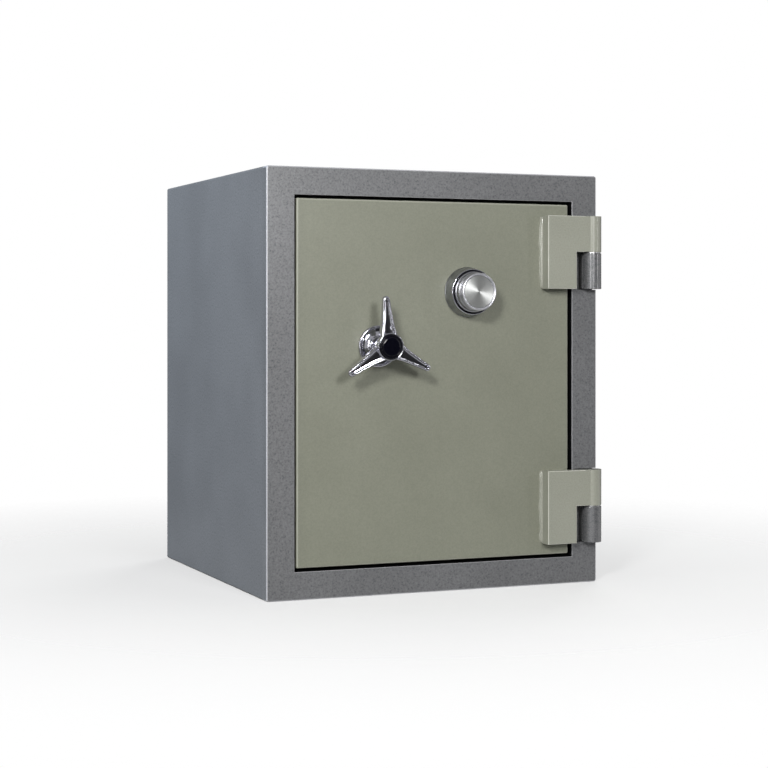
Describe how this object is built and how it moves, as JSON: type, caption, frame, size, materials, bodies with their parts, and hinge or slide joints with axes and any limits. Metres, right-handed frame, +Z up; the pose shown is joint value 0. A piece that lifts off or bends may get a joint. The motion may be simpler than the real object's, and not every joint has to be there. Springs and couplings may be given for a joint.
{
  "type": "combination safe",
  "caption": "Compact fire and burglary safe with a stepped hinged door, combination dial, spoked handle, sliding live bolts and a shelved steel store.",
  "frame": {"origin": "centre of the underside of the body, on the floor", "axes": "+Z up, the door faces -Y, +X is to the right of somebody facing the door"},
  "size_m": [0.591, 0.6234, 0.685],
  "materials": {
    "body_paint": "grey hammertone enamel, fine orange peel",
    "jamb_black": "matt black enamel in the doorway",
    "door_paint": "olive-grey textured enamel, satin",
    "hinge_paint": "olive-grey enamel, smoother than the door",
    "liner_paint": "light grey powder coat",
    "bare_steel": "turned and ground steel",
    "zinc_steel": "bright zinc plate",
    "chrome": "polished plate",
    "spun_metal": "spun radial brushing",
    "black_gloss": "polished black",
    "index_black": "black enamel fill",
    "brass": "machined",
    "lock_casting": "die-cast, matt",
    "seal_rubber": "intumescent strip, matt",
    "fire_fill": "cast vermiculite concrete"
  },
  "bodies": {
    "handle": {"handle": "chrome", "hub_cap": "black_gloss", "handle_spindle": "bare_steel", "handle_crank": "bare_steel"},
    "bolt_work": {"bolt_bar": "zinc_steel", "live_bolts": "bare_steel", "bolt_screws": "zinc_steel"},
    "dial": {"dial": "chrome", "dial_bezel": "chrome", "dial_face": "spun_metal", "dial_spindle": "bare_steel", "drive_cam": "brass"},
    "lock_bolt": {"lock_bolt": "lock_casting", "lock_lever": "lock_casting"},
    "wheel_1": {"wheel_1": "brass"},
    "wheel_2": {"wheel_2": "brass"},
    "wheel_3": {"wheel_3": "brass"},
    "door": {"door_plate": "door_paint", "door_pan": "door_paint", "door_back_cover": "liner_paint", "cover_screws": "zinc_steel", "door_insulation": "fire_fill", "hard_plate": "bare_steel", "boltwork_plate": "zinc_steel", "door_seal": "seal_rubber", "dead_bar": "bare_steel", "upper_hinge_block": "hinge_paint", "lower_hinge_block": "hinge_paint", "hinge_welds": "hinge_paint", "bolt_bushings": "brass", "guide_studs": "bare_steel", "handle_flange": "chrome", "handle_bushing": "brass", "dial_ring": "chrome", "dial_index": "index_black", "spindle_tube": "zinc_steel", "wheel_post": "brass", "lock_case": "lock_casting", "lock_cover": "lock_casting", "lock_screws": "zinc_steel"},
    "safe_body": {"front_frame": "body_paint", "outer_casing": "body_paint", "back_panel": "body_paint", "jamb_left": "jamb_black", "jamb_right": "jamb_black", "jamb_top": "jamb_black", "jamb_bottom": "jamb_black", "bolt_keeper": "bare_steel", "dead_bar_keeper": "bare_steel", "inner_liner": "liner_paint", "anchor_sleeves": "zinc_steel", "wall_insulation": "fire_fill", "shelf": "liner_paint", "shelf_brackets": "liner_paint", "hinge_knuckles": "body_paint", "hinge_pins": "bare_steel", "hinge_washers": "bare_steel"}
  },
  "joints": [
    {"name": "door_swing", "type": "hinge", "parent": "safe_body", "child": "door", "pos_m": [0.281, -0.292, 0.3425], "axis": [0, 0, 1], "range_deg": [0, 180]},
    {"name": "handle_turn", "type": "hinge", "parent": "door", "child": "handle", "pos_m": [-0.104, -0.284, 0.4], "axis": [0, -1, 0], "range_deg": [0, 60]},
    {"name": "bolt_throw", "type": "slide", "parent": "door", "child": "bolt_work", "axis": [-1, 0, 0], "range_m": [0, 0.024]},
    {"name": "dial_turn", "type": "hinge", "parent": "door", "child": "dial", "pos_m": [0.055, -0.284, 0.488], "axis": [0, -1, 0], "continuous": true},
    {"name": "lock_bolt_slide", "type": "slide", "parent": "door", "child": "lock_bolt", "axis": [0, 0, 1], "range_m": [0, 0.0085]},
    {"name": "wheel_1_turn", "type": "hinge", "parent": "door", "child": "wheel_1", "pos_m": [0.055, -0.284, 0.488], "axis": [0, -1, 0], "continuous": true},
    {"name": "wheel_2_turn", "type": "hinge", "parent": "door", "child": "wheel_2", "pos_m": [0.055, -0.284, 0.488], "axis": [0, -1, 0], "continuous": true},
    {"name": "wheel_3_turn", "type": "hinge", "parent": "door", "child": "wheel_3", "pos_m": [0.055, -0.284, 0.488], "axis": [0, -1, 0], "continuous": true}
  ],
  "couplings": [
    {"joint": "bolt_throw", "follows": "handle_turn", "m_per_rad": 0.022918}
  ]
}
